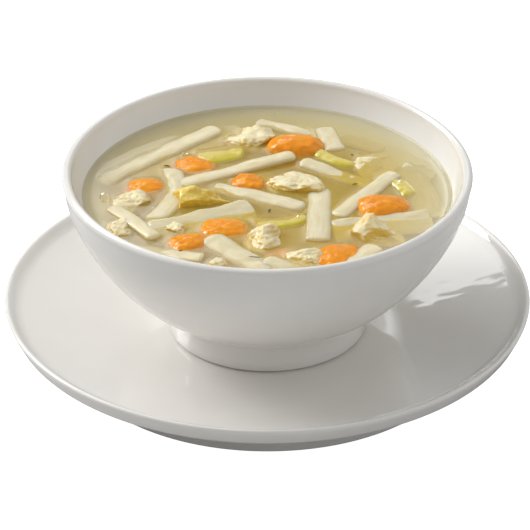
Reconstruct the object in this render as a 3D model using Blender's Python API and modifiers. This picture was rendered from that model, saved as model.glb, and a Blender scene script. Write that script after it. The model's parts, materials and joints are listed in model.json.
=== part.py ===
"""Chicken noodle soup in a footed china bowl on its underplate.

The frame is metres with +Z up. The origin is the middle of the underplate's foot, on the table.
The bowl stands on the plate's flat well, the broth fills the bowl to BROTH_LEVEL, and each
noodle, carrot, piece of chicken and slice of celery that breaks the surface is a solid of its own.
"""
import math
import random

import bmesh
import bpy
from mathutils import Matrix, Vector
from mathutils.bvhtree import BVHTree

MM = 0.001

# Driving dimensions, in millimetres.
RIM_RADIUS = 80.0
RIM_HEIGHT = 81.0
LIP_THICKNESS = 3.7
WALL_THICKNESS = 6.8
WALL_THINS_OVER = 10.0
SWELL_POWER = 1.6
SWELL_ROOT = 0.714
FOOT_RADIUS = 38.9
FOOT_WAIST = 37.0
WAIST_HEIGHT = 23.6
FOOT_RECESS_RADIUS = 34.0
FOOT_RECESS_DEPTH = 3.0
BOWL_FLOOR = 28.0
FLOOR_FLAT_RADIUS = 24.0
FLOOR_EDGE_RADIUS = 36.0
FLOOR_EDGE_RISE = 2.0
WALL_START = 34.0
SOLE_CHAMFER = 1.0

PLATE_RADIUS = 103.5
PLATE_HEIGHT = 25.2
PLATE_WELL_RADIUS = 46.0
PLATE_WELL_HEIGHT = 12.0
PLATE_SLOPE_SHARE = 0.82
PLATE_SLOPE_POWER = 1.35
PLATE_LIP_WIDTH = 4.5
PLATE_EDGE_DROP = 7.5
PLATE_FOOT_RADIUS = 78.0
PLATE_FOOT_WIDTH = 4.0
PLATE_RECESS_HEIGHT = 5.0

BROTH_LEVEL = 70.4
NOODLE_THICKNESS = 2.2
RIBBON_ROUNDING = 0.5
RIBBON_STEPS = 6
RIBBON_NARROWEST = 0.4
END_STATIONS = (0.0, 0.3, 1.0)
DICE_ROUNDNESS = 0.75
DICE_TAPER = 0.15
LUMP_SWELLS = (0.10, 0.09, 0.07)
LUMP_WAVES = (7, 8, 9)
LUMP_SLANT = 5
BALL_SUBDIVISIONS = 2
GAP = 0.3

TURN_STEPS = 28
WALL_RINGS = 5
LIP_STEPS = 5

CHINA = ((0.86, 0.85, 0.83), 0.12)
BROTH = ((0.80, 0.70, 0.38), 0.08)
PASTA = ((0.86, 0.80, 0.62), 0.35)
CARROT = ((0.90, 0.40, 0.05), 0.20)
CHICKEN = ((0.88, 0.80, 0.48), 0.45)
CELERY = ((0.70, 0.72, 0.16), 0.25)


def clear_scene():
    for thing in list(bpy.data.objects):
        bpy.data.objects.remove(thing)


def make_collection(name):
    made = bpy.data.collections.new(name)
    bpy.context.scene.collection.children.link(made)
    return made


def make_material(name, finish):
    colour, roughness = finish
    material = bpy.data.materials.new(name)
    material.use_nodes = True
    shader = material.node_tree.nodes["Principled BSDF"]
    shader.inputs["Base Color"].default_value = (*colour, 1.0)
    shader.inputs["Roughness"].default_value = roughness
    shader.inputs["Metallic"].default_value = 0.0
    return material


def place(name, mesh, finish, collection):
    thing = bpy.data.objects.new(name, mesh)
    thing.data.materials.append(make_material(name, finish))
    collection.objects.link(thing)
    return thing


def turned(name, outline, finish, collection):
    """A solid of revolution from an outline of (radius, height) that starts and ends on the axis."""
    shape = bmesh.new()
    line = [shape.verts.new((radius * MM, 0.0, height * MM)) for radius, height in outline]
    for first, second in zip(line, line[1:]):
        shape.edges.new((first, second))
    mesh = bpy.data.meshes.new(name)
    shape.to_mesh(mesh)
    shape.free()
    thing = place(name, mesh, finish, collection)
    screw = thing.modifiers.new("Turn", "SCREW")
    screw.axis = "Z"
    screw.steps = TURN_STEPS
    screw.render_steps = TURN_STEPS
    screw.use_merge_vertices = True
    screw.merge_threshold = 0.00001
    return thing


def outer_radius(height):
    """The bowl's outside swells from its waist to an upright band under the lip."""
    rise = (height - WAIST_HEIGHT) / (RIM_HEIGHT - LIP_THICKNESS / 2 - WAIST_HEIGHT)
    swell = (1 - (1 - min(rise, 1.0)) ** SWELL_POWER) ** SWELL_ROOT
    return FOOT_WAIST + (RIM_RADIUS - FOOT_WAIST) * swell


def inner_radius(height):
    """The inside follows the outside, with a wall that thins over its last stretch to the lip."""
    below_lip = RIM_HEIGHT - LIP_THICKNESS / 2 - height
    share = min(below_lip / WALL_THINS_OVER, 1.0)
    return outer_radius(height) - LIP_THICKNESS - (WALL_THICKNESS - LIP_THICKNESS) * share


def spread(low, high, count):
    return [low + (high - low) * step / count for step in range(count + 1)]


def inner_wall(top, inset=0.0):
    """The bowl's floor and inner wall up to a height, drawn in by inset."""
    floor = BOWL_FLOOR + inset
    points = [(0.0, floor), (FLOOR_FLAT_RADIUS, floor), (FLOOR_EDGE_RADIUS, floor + FLOOR_EDGE_RISE)]
    heights = spread(WALL_START, top, WALL_RINGS)
    points += [(inner_radius(height) - inset, height) for height in heights]
    return points


def bowl_outline():
    lip_radius = LIP_THICKNESS / 2
    lip_middle = (RIM_RADIUS - lip_radius, RIM_HEIGHT - lip_radius)
    points = inner_wall(lip_middle[1])
    for step in range(1, LIP_STEPS):
        angle = math.pi * (1 - step / LIP_STEPS)
        across = lip_middle[0] + lip_radius * math.cos(angle)
        points.append((across, lip_middle[1] + lip_radius * math.sin(angle)))
    heights = spread(RIM_HEIGHT - lip_radius, WAIST_HEIGHT + 1.5, WALL_RINGS + 1)
    points += [(outer_radius(height), height) for height in heights]
    sole = PLATE_WELL_HEIGHT + GAP
    points += [(FOOT_WAIST, WAIST_HEIGHT), (FOOT_RADIUS, sole + SOLE_CHAMFER)]
    points.append((FOOT_RADIUS - SOLE_CHAMFER, sole))
    points.append((FOOT_RECESS_RADIUS, sole))
    points.append((FOOT_RECESS_RADIUS - SOLE_CHAMFER, sole + FOOT_RECESS_DEPTH))
    points.append((0.0, sole + FOOT_RECESS_DEPTH))
    return points


def broth_outline():
    return [(0.0, BROTH_LEVEL)] + inner_wall(BROTH_LEVEL, GAP)[::-1]


def plate_outline():
    rise = PLATE_HEIGHT - PLATE_WELL_HEIGHT
    lip_start = PLATE_RADIUS - PLATE_LIP_WIDTH
    edge_height = PLATE_HEIGHT - PLATE_EDGE_DROP
    foot_inside = PLATE_FOOT_RADIUS - PLATE_FOOT_WIDTH
    points = [(0.0, PLATE_WELL_HEIGHT), (PLATE_WELL_RADIUS, PLATE_WELL_HEIGHT)]
    for share in (0.25, 0.5, 0.75, 1.0):
        radius = PLATE_WELL_RADIUS + (lip_start - PLATE_WELL_RADIUS) * share
        climb = PLATE_SLOPE_SHARE * rise * share**PLATE_SLOPE_POWER
        points.append((radius, PLATE_WELL_HEIGHT + climb))
    points += [(PLATE_RADIUS - 1.6, PLATE_HEIGHT - 0.2), (PLATE_RADIUS - 0.5, PLATE_HEIGHT)]
    points += [(PLATE_RADIUS, PLATE_HEIGHT - 0.8), (PLATE_RADIUS - 3.0, edge_height + 0.5)]
    points += [(PLATE_RADIUS - 4.5, edge_height), (PLATE_FOOT_RADIUS + 1.0, 4.5)]
    points += [(PLATE_FOOT_RADIUS, 0.6), (PLATE_FOOT_RADIUS - 0.6, 0.0), (foot_inside, 0.0)]
    points += [(foot_inside - 1.0, PLATE_RECESS_HEIGHT), (0.0, PLATE_RECESS_HEIGHT)]
    return points


def strip(name, finish, collection, spec, grow):
    """A flat ribbon with rounded ends, laid from start to end.

    bow bends it sideways, arch lifts its middle, roll tips it about its length and heights
    are the middles of its ends above the broth.
    """
    start = Vector(spec["start"])
    end = Vector(spec["end"])
    along = (end - start).normalized()
    across = Vector((-along.y, along.x))
    length = (end - start).length + 2 * grow
    half_width = spec["width"] / 2 + grow
    roll = math.radians(spec.get("roll", 0.0))
    rounding = spec.get("rounding", RIBBON_ROUNDING) * spec["width"]
    low, high = spec["heights"]
    shape = bmesh.new()
    bmesh.ops.create_grid(shape, x_segments=RIBBON_STEPS, y_segments=1, size=0.5)
    for vert in shape.verts:
        step = round((vert.co.x + 0.5) * RIBBON_STEPS)
        from_end = min(step, RIBBON_STEPS - step)
        inside = length / 2
        if from_end < len(END_STATIONS):
            inside = END_STATIONS[from_end] * rounding
        inside = min(inside, length / 2)
        reach = inside if step <= RIBBON_STEPS / 2 else length - inside
        full = 1 - (1 - min(inside / rounding, 1.0)) ** 2
        narrowing = math.sqrt(max(full, RIBBON_NARROWEST**2))
        share = reach / length
        sideways = 2 * vert.co.y * half_width * narrowing
        curve = 4 * share * (1 - share)
        middle = start + along * (reach - grow) + across * (spec.get("bow", 0.0) * curve)
        spot = middle + across * (sideways * math.cos(roll))
        height = low + (high - low) * share + spec.get("arch", 0.0) * curve + sideways * math.sin(roll)
        vert.co = Vector((spot.x, spot.y, BROTH_LEVEL + height)) * MM
    mesh = bpy.data.meshes.new(name)
    shape.to_mesh(mesh)
    shape.free()
    thing = place(name, mesh, finish, collection)
    shell = thing.modifiers.new("Thickness", "SOLIDIFY")
    shell.thickness = (spec.get("thickness", NOODLE_THICKNESS) + 2 * grow) * MM
    shell.offset = 0.0
    return thing


def lump_place(spec):
    """Turns and moves a lump to its place above the broth."""
    x, y, height = spec["middle"]
    spot = Matrix.Translation(Vector((x, y, BROTH_LEVEL + height)) * MM)
    turn = Matrix.Rotation(math.radians(spec.get("turn", 0.0)), 4, "Z")
    tilt = Matrix.Rotation(math.radians(spec.get("tilt", 0.0)), 4, "Y")
    return spot @ turn @ tilt


def carrot(name, finish, collection, spec, grow):
    """A cooked carrot dice: a ball pressed towards a box, one end narrower than the other."""
    size = Vector(spec["size"]) + Vector((2 * grow, 2 * grow, 2 * grow))
    shape = bmesh.new()
    bmesh.ops.create_icosphere(shape, subdivisions=BALL_SUBDIVISIONS, radius=0.5)
    for vert in shape.verts:
        x, y, z = [math.copysign(abs(2 * part) ** DICE_ROUNDNESS / 2, part) for part in vert.co]
        taper = 1 - spec.get("taper", DICE_TAPER) * (x + 0.5)
        vert.co = Vector((x * size.x, y * size.y * taper, z * size.z)) * MM
    shape.transform(lump_place(spec))
    mesh = bpy.data.meshes.new(name)
    shape.to_mesh(mesh)
    shape.free()
    return place(name, mesh, finish, collection)


def chunk(name, finish, collection, spec, grow):
    """A torn piece of chicken breast: a ball that three waves swell and hollow unevenly."""
    size = Vector(spec["size"]) + Vector((2 * grow, 2 * grow, 2 * grow))
    draw = random.Random(spec["seed"])
    phases = [draw.uniform(0, 2 * math.pi) for _ in range(3)]
    shape = bmesh.new()
    bmesh.ops.create_icosphere(shape, subdivisions=BALL_SUBDIVISIONS, radius=0.5)
    for vert in shape.verts:
        x, y, z = vert.co
        turns = (LUMP_WAVES[0] * x, LUMP_WAVES[1] * y, LUMP_WAVES[2] * z + LUMP_SLANT * x)
        waves = [math.sin(turn + phase) for turn, phase in zip(turns, phases)]
        swell = 1 + sum(height * wave for height, wave in zip(LUMP_SWELLS, waves))
        vert.co = Vector((x * size.x, y * size.y, z * size.z)) * swell * MM
    shape.transform(lump_place(spec))
    mesh = bpy.data.meshes.new(name)
    shape.to_mesh(mesh)
    shape.free()
    return place(name, mesh, finish, collection)


# Every piece that breaks the surface, from the lowest to the topmost. Places are millimetres from
# the bowl's axis, heights millimetres above the broth. A lower piece gives way to a higher one.
PIECES = {
    "noodle_back_left": (
        strip,
        PASTA,
        dict(start=(-65.0, 10.0), end=(-19.0, 53.8), width=9.0, heights=(-1.1, -0.3), bow=1.0),
    ),
    "noodle_left_curved": (
        strip,
        PASTA,
        dict(
            start=(-37.5, 20.5), end=(-44.0, -20.5), width=9.0,
            heights=(-0.6, -0.5), bow=4.5, rounding=0.25,
        ),
    ),
    "noodle_back_short": (
        strip,
        PASTA,
        dict(start=(22.6, 55.0), end=(27.4, 34.8), width=8.8, heights=(-0.8, -0.2), rounding=0.15),
    ),
    "noodle_right_edge": (
        strip,
        PASTA,
        dict(
            start=(25.0, -28.2), end=(63.9, -19.6), width=12.5,
            heights=(-1.6, -0.9), roll=15.0, rounding=0.06, thickness=2.0,
        ),
    ),
    "noodle_broad_tipped": (
        strip,
        PASTA,
        dict(
            start=(-44.5, -29.8), end=(-5.2, -12.0), width=13.5,
            heights=(-1.4, -0.6), roll=15.0, rounding=0.12, thickness=2.0,
        ),
    ),
    "noodle_front_left": (
        strip,
        PASTA,
        dict(start=(-50.0, -43.5), end=(-24.5, -51.5), width=7.4, heights=(-1.6, -0.1), rounding=0.1),
    ),
    "noodle_front_middle": (
        strip,
        PASTA,
        dict(start=(-22.5, -35.0), end=(0.5, -60.0), width=10.6, heights=(0.1, -1.0), rounding=0.3),
    ),
    "noodle_front_rim": (
        strip,
        PASTA,
        dict(start=(-0.8, -51.5), end=(16.0, -62.0), width=8.6, heights=(-0.4, -1.2), rounding=0.4),
    ),
    "noodle_rim_right": (
        strip,
        PASTA,
        dict(start=(31.0, -58.0), end=(42.0, -43.5), width=9.4, heights=(0.2, 0.8)),
    ),
    "noodle_middle": (
        strip,
        PASTA,
        dict(start=(-21.5, 6.8), end=(14.5, -11.6), width=8.6, heights=(-0.9, 0.0)),
    ),
    "noodle_right_low": (
        strip,
        PASTA,
        dict(start=(13.2, 25.6), end=(41.5, 7.4), width=7.8, heights=(0.3, -2.6)),
    ),
    "celery_back_left": (
        strip,
        CELERY,
        dict(
            start=(-28.5, 31.0), end=(-10.0, 39.5), width=15.0,
            heights=(-1.1, -1.3), bow=-2.5, roll=-6.0, thickness=2.8,
        ),
    ),
    "celery_front": (
        strip,
        CELERY,
        dict(
            start=(-6.5, -20.0), end=(15.8, -17.5), width=11.0,
            heights=(-1.5, -1.0), bow=-3.2, roll=-8.0, thickness=2.8,
        ),
    ),
    "celery_right": (
        strip,
        CELERY,
        dict(
            start=(19.4, 34.6), end=(34.5, 22.5), width=6.4,
            heights=(0.0, -1.0), bow=-1.6, thickness=3.2,
        ),
    ),
    "celery_far_right": (
        strip,
        CELERY,
        dict(
            start=(49.4, 10.5), end=(54.8, -2.5), width=6.8,
            heights=(-0.6, -0.9), bow=1.4, thickness=3.2,
        ),
    ),
    "carrot_left": (carrot, CARROT, dict(middle=(-48.0, 6.0, -3.2), size=(16.0, 15.5, 8.1), turn=10.0)),
    "carrot_back_left": (
        carrot,
        CARROT,
        dict(middle=(-28.4, 23.6, -2.8), size=(18.8, 16.0, 7.1), turn=-20.0, taper=0.25),
    ),
    "carrot_back": (
        carrot,
        CARROT,
        dict(middle=(11.4, 38.0, -2.6), size=(22.1, 16.0, 12.2), turn=-6.0),
    ),
    "carrot_middle": (
        carrot,
        CARROT,
        dict(middle=(-7.2, 8.6, -2.6), size=(13.6, 12.2, 8.9), turn=-20.0),
    ),
    "carrot_front_middle": (
        carrot,
        CARROT,
        dict(middle=(-16.6, -27.6, -3.0), size=(19.7, 16.0, 8.6), turn=5.0),
    ),
    "carrot_front_left": (
        carrot,
        CARROT,
        dict(middle=(-30.2, -38.2, -3.1), size=(17.4, 14.6, 8.6), turn=22.0),
    ),
    "carrot_right": (
        carrot,
        CARROT,
        dict(middle=(45.0, -10.4, -2.8), size=(21.1, 16.9, 11.3), turn=12.0),
    ),
    "carrot_front_right": (
        carrot,
        CARROT,
        dict(middle=(27.0, -49.2, -3.3), size=(20.2, 18.8, 10.0), turn=20.0),
    ),
    "chicken_back": (
        chunk,
        CHICKEN,
        dict(middle=(-6.0, 47.8, -1.6), size=(25.0, 20.0, 8.0), turn=-4.0, seed=3),
    ),
    "chicken_middle": (
        chunk,
        CHICKEN,
        dict(middle=(11.0, 7.6, -0.8), size=(24.0, 17.0, 10.5), turn=-14.0, seed=11),
    ),
    "chicken_left": (
        chunk,
        CHICKEN,
        dict(middle=(-53.6, -6.4, -1.5), size=(20.0, 19.0, 7.5), turn=-25.0, seed=8),
    ),
    "chicken_left_middle": (
        chunk,
        CHICKEN,
        dict(middle=(-26.8, -5.0, -1.0), size=(25.0, 15.0, 9.0), turn=8.0, seed=5),
    ),
    "chicken_front_left": (
        chunk,
        CHICKEN,
        dict(middle=(-56.4, -26.6, -1.2), size=(14.0, 14.0, 8.0), turn=-40.0, seed=21),
    ),
    "chicken_crumb": (
        chunk,
        CHICKEN,
        dict(middle=(-36.2, -27.0, -0.6), size=(10.0, 8.0, 5.0), turn=0.0, seed=2),
    ),
    "chicken_back_right": (
        chunk,
        CHICKEN,
        dict(middle=(41.8, 26.4, -3.0), size=(21.0, 22.0, 7.5), turn=-30.0, seed=17),
    ),
    "chicken_front_middle": (
        chunk,
        CHICKEN,
        dict(middle=(-1.6, -37.5, -1.0), size=(18.0, 15.0, 9.5), turn=14.0, seed=14),
    ),
    "chicken_right": (
        chunk,
        CHICKEN,
        dict(middle=(40.4, -30.0, -0.8), size=(24.0, 18.0, 10.5), turn=-12.0, seed=9),
    ),
    "chicken_front": (
        chunk,
        CHICKEN,
        dict(middle=(16.4, -50.8, -1.2), size=(18.0, 14.0, 8.5), turn=-8.0, seed=6),
    ),
    "chicken_front_rim": (
        chunk,
        CHICKEN,
        dict(middle=(-17.8, -57.8, -1.2), size=(14.0, 9.0, 6.0), turn=-20.0, seed=12),
    ),
    "noodle_left_raised": (
        strip,
        PASTA,
        dict(
            start=(-60.5, -11.5), end=(-42.6, -36.8), width=6.8,
            heights=(0.0, 0.9), rounding=0.25, thickness=2.8,
        ),
    ),
    "noodle_back_top": (
        strip,
        PASTA,
        dict(start=(-34.5, 7.6), end=(10.8, 29.4), width=7.8, heights=(-0.5, 1.2), thickness=2.6),
    ),
    "noodle_front_upright": (
        strip,
        PASTA,
        dict(start=(20.6, 5.2), end=(18.8, -38.6), width=9.8, heights=(-0.5, 0.8), rounding=0.12),
    ),
    "noodle_right_top": (
        strip,
        PASTA,
        dict(start=(26.6, -18.8), end=(50.4, 16.2), width=7.6, heights=(0.2, -0.2)),
    ),
}


def mesh_tree(thing):
    """A search tree of an object's faces as its modifiers leave it."""
    shown = thing.evaluated_get(bpy.context.evaluated_depsgraph_get())
    mesh = shown.to_mesh()
    corners = [vert.co for vert in mesh.vertices]
    tree = BVHTree.FromPolygons(corners, [face.vertices for face in mesh.polygons])
    shown.to_mesh_clear()
    return tree


def cut(thing, cutter):
    away = thing.modifiers.new("Room for " + cutter.name, "BOOLEAN")
    away.operation = "DIFFERENCE"
    away.solver = "EXACT"
    away.object = cutter


def build():
    clear_scene()
    parts = make_collection("Chicken noodle soup")
    cutters = make_collection("Cutters")
    turned("underplate", plate_outline(), CHINA, parts)
    turned("bowl", bowl_outline(), CHINA, parts)
    broth = turned("broth", broth_outline(), BROTH, parts)
    made = {}
    for name, (shape, finish, spec) in PIECES.items():
        piece = shape(name, finish, parts, spec, 0.0)
        cutter = shape("room_" + name, finish, cutters, spec, GAP)
        cutter.hide_render = True
        cutter.display_type = "WIRE"
        made[name] = (piece, cutter)
    bpy.context.view_layer.update()
    trees = {name: (mesh_tree(piece), mesh_tree(cutter)) for name, (piece, cutter) in made.items()}
    names = list(PIECES)
    for index, lower in enumerate(names):
        for upper in names[index + 1 :]:
            if trees[lower][0].overlap(trees[upper][1]):
                cut(made[lower][0], made[upper][1])
    room = broth.modifiers.new("Room for the food", "BOOLEAN")
    room.operation = "DIFFERENCE"
    room.solver = "EXACT"
    room.operand_type = "COLLECTION"
    room.collection = cutters


build()
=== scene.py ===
import json
import math
import random

import bpy
from mathutils import Matrix, Vector, kdtree, noise

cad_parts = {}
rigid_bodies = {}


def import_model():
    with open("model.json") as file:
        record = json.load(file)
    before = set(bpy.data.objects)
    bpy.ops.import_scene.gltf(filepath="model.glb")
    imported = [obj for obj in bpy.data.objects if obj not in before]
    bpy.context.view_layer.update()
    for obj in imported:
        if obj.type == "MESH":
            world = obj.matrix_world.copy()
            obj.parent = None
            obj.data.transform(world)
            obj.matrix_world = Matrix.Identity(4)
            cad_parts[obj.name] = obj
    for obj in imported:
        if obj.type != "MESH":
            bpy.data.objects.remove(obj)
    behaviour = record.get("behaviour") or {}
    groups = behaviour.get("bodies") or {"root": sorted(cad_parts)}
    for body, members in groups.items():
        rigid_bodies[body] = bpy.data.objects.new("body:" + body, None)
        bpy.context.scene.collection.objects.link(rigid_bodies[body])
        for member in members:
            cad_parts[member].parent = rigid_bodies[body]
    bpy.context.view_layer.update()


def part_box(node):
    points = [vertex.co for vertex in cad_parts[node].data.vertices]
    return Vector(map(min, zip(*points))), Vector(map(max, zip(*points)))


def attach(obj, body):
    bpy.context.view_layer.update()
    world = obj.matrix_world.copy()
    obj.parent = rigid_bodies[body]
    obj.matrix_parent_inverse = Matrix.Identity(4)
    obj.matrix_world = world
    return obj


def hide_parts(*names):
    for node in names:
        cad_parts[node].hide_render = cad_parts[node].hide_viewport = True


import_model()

# ---------------------------------------------------------------------------------------------
# The bowl. White stoneware china, turned in one piece with its foot and fired with a clear
# glossy glaze. Its outside swells from a narrow waist to an upright band under a rounded lip.

MM = 0.001

bowl_low, bowl_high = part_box("bowl")
rim_radius = bowl_high[0]
rim_height = bowl_high[2]
lip_radius = 1.85 * MM
lip_step = 0.45 * MM
wall_thickness = 6.8 * MM
thinning = 10 * MM
swell_below, swell_above = 1.6, 0.714
waist_radius = 37.0 * MM
waist_height = 23.6 * MM
foot_radius = 38.9 * MM
foot_height = bowl_low[2]
bowl_floor = 28.0 * MM


def linear(hex_colour):
    """An sRGB hex colour as the linear red, green, blue and alpha that shaders take."""
    parts = [int(hex_colour[place : place + 2], 16) / 255 for place in (0, 2, 4)]
    return (*[p / 12.92 if p <= 0.04045 else ((p + 0.055) / 1.055) ** 2.4 for p in parts], 1.0)


def add_node(material, kind, feeds=None, **settings):
    """Adds one shader node with its settings. feeds fills its sockets, from values or outputs."""
    made = material.node_tree.nodes.new("ShaderNode" + kind)
    for name, value in settings.items():
        setattr(made, name, value)
    for name, value in (feeds or {}).items():
        if isinstance(value, bpy.types.NodeSocket):
            material.node_tree.links.new(value, made.inputs[name])
        else:
            made.inputs[name].default_value = value
    return made


def new_material(name):
    """A material with nothing in it but its output."""
    made = bpy.data.materials.new(name)
    made.use_nodes = True
    made.node_tree.nodes.clear()
    add_node(made, "OutputMaterial")
    return made


def show(material, shader):
    """Sends a shader to the material's output."""
    out = material.node_tree.nodes["Material Output"]
    material.node_tree.links.new(shader, out.inputs["Surface"])


def colour_stops(ramp, *stops):
    """Sets a ramp's colours: each stop is a place from 0 to 1 and a hex colour."""
    elements = ramp.color_ramp.elements
    while len(elements) < len(stops):
        elements.new(0.5)
    for element, (place, hex_colour) in zip(elements, stops):
        element.position = place
        element.color = linear(hex_colour)


def only_this(piece):
    """Makes a piece the only selected and active one."""
    bpy.ops.object.select_all(action="DESELECT")
    piece.select_set(True)
    bpy.context.view_layer.objects.active = piece


def throw_on_wheel(name, outline, turns=160):
    """Turns a pot: a disc's edge is drawn out and opened or closed ring by ring along an outline."""
    bpy.ops.object.select_all(action="DESELECT")
    radius, height = outline[0]
    bpy.ops.mesh.primitive_circle_add(
        vertices=turns, radius=radius, location=(0, 0, height), fill_type="TRIFAN"
    )
    pot = bpy.context.object
    pot.name = name
    bpy.ops.object.transform_apply(location=True, rotation=True, scale=True)
    bpy.ops.object.mode_set(mode="EDIT")
    bpy.ops.mesh.select_all(action="DESELECT")
    bpy.ops.mesh.select_mode(type="EDGE")
    bpy.ops.mesh.select_non_manifold()
    for (was, low), (now, high) in zip(outline, outline[1:]):
        bpy.ops.mesh.extrude_edges_move(TRANSFORM_OT_translate={"value": (0, 0, high - low)})
        bpy.ops.transform.resize(value=(now / was, now / was, 1), center_override=(0, 0, 0))
    bpy.ops.mesh.merge(type="CENTER")
    bpy.ops.mesh.select_all(action="SELECT")
    bpy.ops.mesh.normals_make_consistent(inside=False)
    bpy.ops.object.mode_set(mode="OBJECT")
    only_this(pot)
    bpy.ops.object.shade_smooth()
    return pot


def outside_of_bowl(height):
    """The body's radius: it swells from the waist to an upright band."""
    rise = min((height - waist_height) / (rim_height - lip_radius - waist_height), 1.0)
    swell = (1 - (1 - rise) ** swell_below) ** swell_above
    return waist_radius + (rim_radius - waist_radius) * swell


def inside_of_bowl(height):
    """The inside's radius: the wall thins towards the lip."""
    share = min((rim_height - lip_radius - height) / thinning, 1.0)
    return outside_of_bowl(height) - 2 * lip_radius - (wall_thickness - 2 * lip_radius) * share


bowl_line = [(8 * MM, bowl_floor), (24 * MM, bowl_floor), (36 * MM, bowl_floor + 2 * MM)]
inner_top = rim_height - lip_radius
for step in range(33):
    height = 34 * MM + (inner_top - 34 * MM) * step / 32
    bowl_line.append((inside_of_bowl(height), height))
for step in range(1, 12):
    angle = math.pi * (1 - step / 12)
    across = rim_radius - lip_radius + lip_radius * math.cos(angle)
    bowl_line.append((across, inner_top + lip_radius * math.sin(angle)))
for step in range(49):
    height = inner_top - (inner_top - waist_height - 0.4 * MM) * (step / 48)
    under_lip = 1 - math.exp(-(((inner_top - height) / (1.3 * MM)) ** 2))
    fading = math.exp(-(((inner_top - height) / (9 * MM)) ** 2))
    bowl_line.append((outside_of_bowl(height) - lip_step * under_lip * fading, height))
bowl_line += [
    (waist_radius - 0.1 * MM, waist_height - 0.8 * MM),
    (waist_radius, waist_height - 2.5 * MM),
    (waist_radius + 0.9 * MM, foot_height + 4 * MM),
    (foot_radius, foot_height + 1 * MM),
    (foot_radius - 0.3 * MM, foot_height + 0.3 * MM),
    (foot_radius - 1 * MM, foot_height),
    (34.5 * MM, foot_height),
    (34 * MM, foot_height + 0.4 * MM),
    (33 * MM, foot_height + 3 * MM),
    (20 * MM, foot_height + 3 * MM),
    (8 * MM, foot_height + 3 * MM),
]
bowl = throw_on_wheel("china_bowl", bowl_line)

# Fired glaze over white china: a clear glass skin that pools very slightly uneven, so that
# reflections waver, over a body that is a warm white.
glazed_china = new_material("glazed_china")
china_place = add_node(glazed_china, "TexCoord").outputs["Object"]
# The glaze's unevenness is about 25 mm across, its colour varies over about 40 mm.
glaze_wave = add_node(
    glazed_china, "TexNoise", {"Vector": china_place, "Scale": 1 / (25 * MM), "Detail": 1.5}
)
china_tone = add_node(
    glazed_china, "TexNoise", {"Vector": china_place, "Scale": 1 / (40 * MM), "Detail": 3.0}
)
china_colour = add_node(glazed_china, "ValToRGB", {"Fac": china_tone.outputs["Fac"]})
colour_stops(china_colour, (0.3, "E8E5E0"), (0.7, "ECEAE5"))
glaze_bump = add_node(
    glazed_china, "Bump", {"Height": glaze_wave.outputs["Fac"], "Strength": 0.06, "Distance": 2 * MM}
)
china_shader = add_node(
    glazed_china,
    "BsdfPrincipled",
    {
        "Base Color": china_colour.outputs["Color"],
        "Roughness": 0.4,
        "Specular IOR Level": 0.1,
        "Coat Weight": 1.0,
        "Coat Roughness": 0.03,
        "Normal": glaze_bump.outputs["Normal"],
    },
)
show(glazed_china, china_shader.outputs["BSDF"])
bowl.data.materials.append(glazed_china)
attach(bowl, "root")
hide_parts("bowl")

# ---------------------------------------------------------------------------------------------
# The plate under the bowl. The same china and glaze: a wide coupe plate with a flat well for the
# bowl's foot, a low upturned lip, a thick outer edge and a foot ring that stands on the table.

plate_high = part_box("underplate")[1]
plate_radius = plate_high[0]
plate_height = plate_high[2]
well_radius = 46 * MM
well_height = 12 * MM
plate_foot = 78 * MM

plate_line = [(8 * MM, well_height), (30 * MM, well_height), (well_radius, well_height)]
slope_end = plate_radius - 5 * MM
for step in range(1, 25):
    share = step / 24
    radius = well_radius + (slope_end - well_radius) * share
    plate_line.append((radius, well_height + 0.80 * (plate_height - well_height) * share**1.35))
plate_line += [
    (plate_radius - 3.4 * MM, plate_height - 1.6 * MM),
    (plate_radius - 2.2 * MM, plate_height - 0.6 * MM),
    (plate_radius - 1.3 * MM, plate_height - 0.1 * MM),
    (plate_radius - 0.7 * MM, plate_height),
    (plate_radius - 0.2 * MM, plate_height - 0.3 * MM),
    (plate_radius, plate_height - 0.9 * MM),
    (plate_radius - 0.6 * MM, plate_height - 2.5 * MM),
    (plate_radius - 2.6 * MM, plate_height - 6.6 * MM),
    (plate_radius - 3.1 * MM, plate_height - 7.3 * MM),
    (plate_radius - 4.2 * MM, plate_height - 7.6 * MM),
    (plate_radius - 12 * MM, plate_height - 13.5 * MM),
    (plate_foot + 2 * MM, 5.4 * MM),
    (plate_foot + 0.8 * MM, 4.2 * MM),
    (plate_foot, 1.0 * MM),
    (plate_foot - 0.3 * MM, 0.3 * MM),
    (plate_foot - 1.0 * MM, 0.0),
    (plate_foot - 3.4 * MM, 0.0),
    (plate_foot - 4.0 * MM, 0.6 * MM),
    (plate_foot - 5.0 * MM, 5 * MM),
    (30 * MM, 5 * MM),
    (8 * MM, 5 * MM),
]
plate = throw_on_wheel("china_plate", plate_line, turns=192)
plate.data.materials.append(glazed_china)
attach(plate, "root")
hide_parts("underplate")

# ---------------------------------------------------------------------------------------------
# The noodles. Broad egg pasta, rolled and cut in short ribbons, swollen by cooking to 2 to 3 mm
# thick and rounded. Some lie on top, two are tipped with one edge under the broth, five are sunk.

broth_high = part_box("broth")[1]
broth_level = broth_high[2]
wall_radius = inside_of_bowl(broth_level)

# Cooking leaves each ribbon uneven: how much it sways, widens and heaves, and over what length, in
# millimetres apart from the widening, which is a share of the width.
sway, sway_length = 0.9, 14
widening, widening_length = 0.10, 9
heave, heave_length = 0.5, 12


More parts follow.
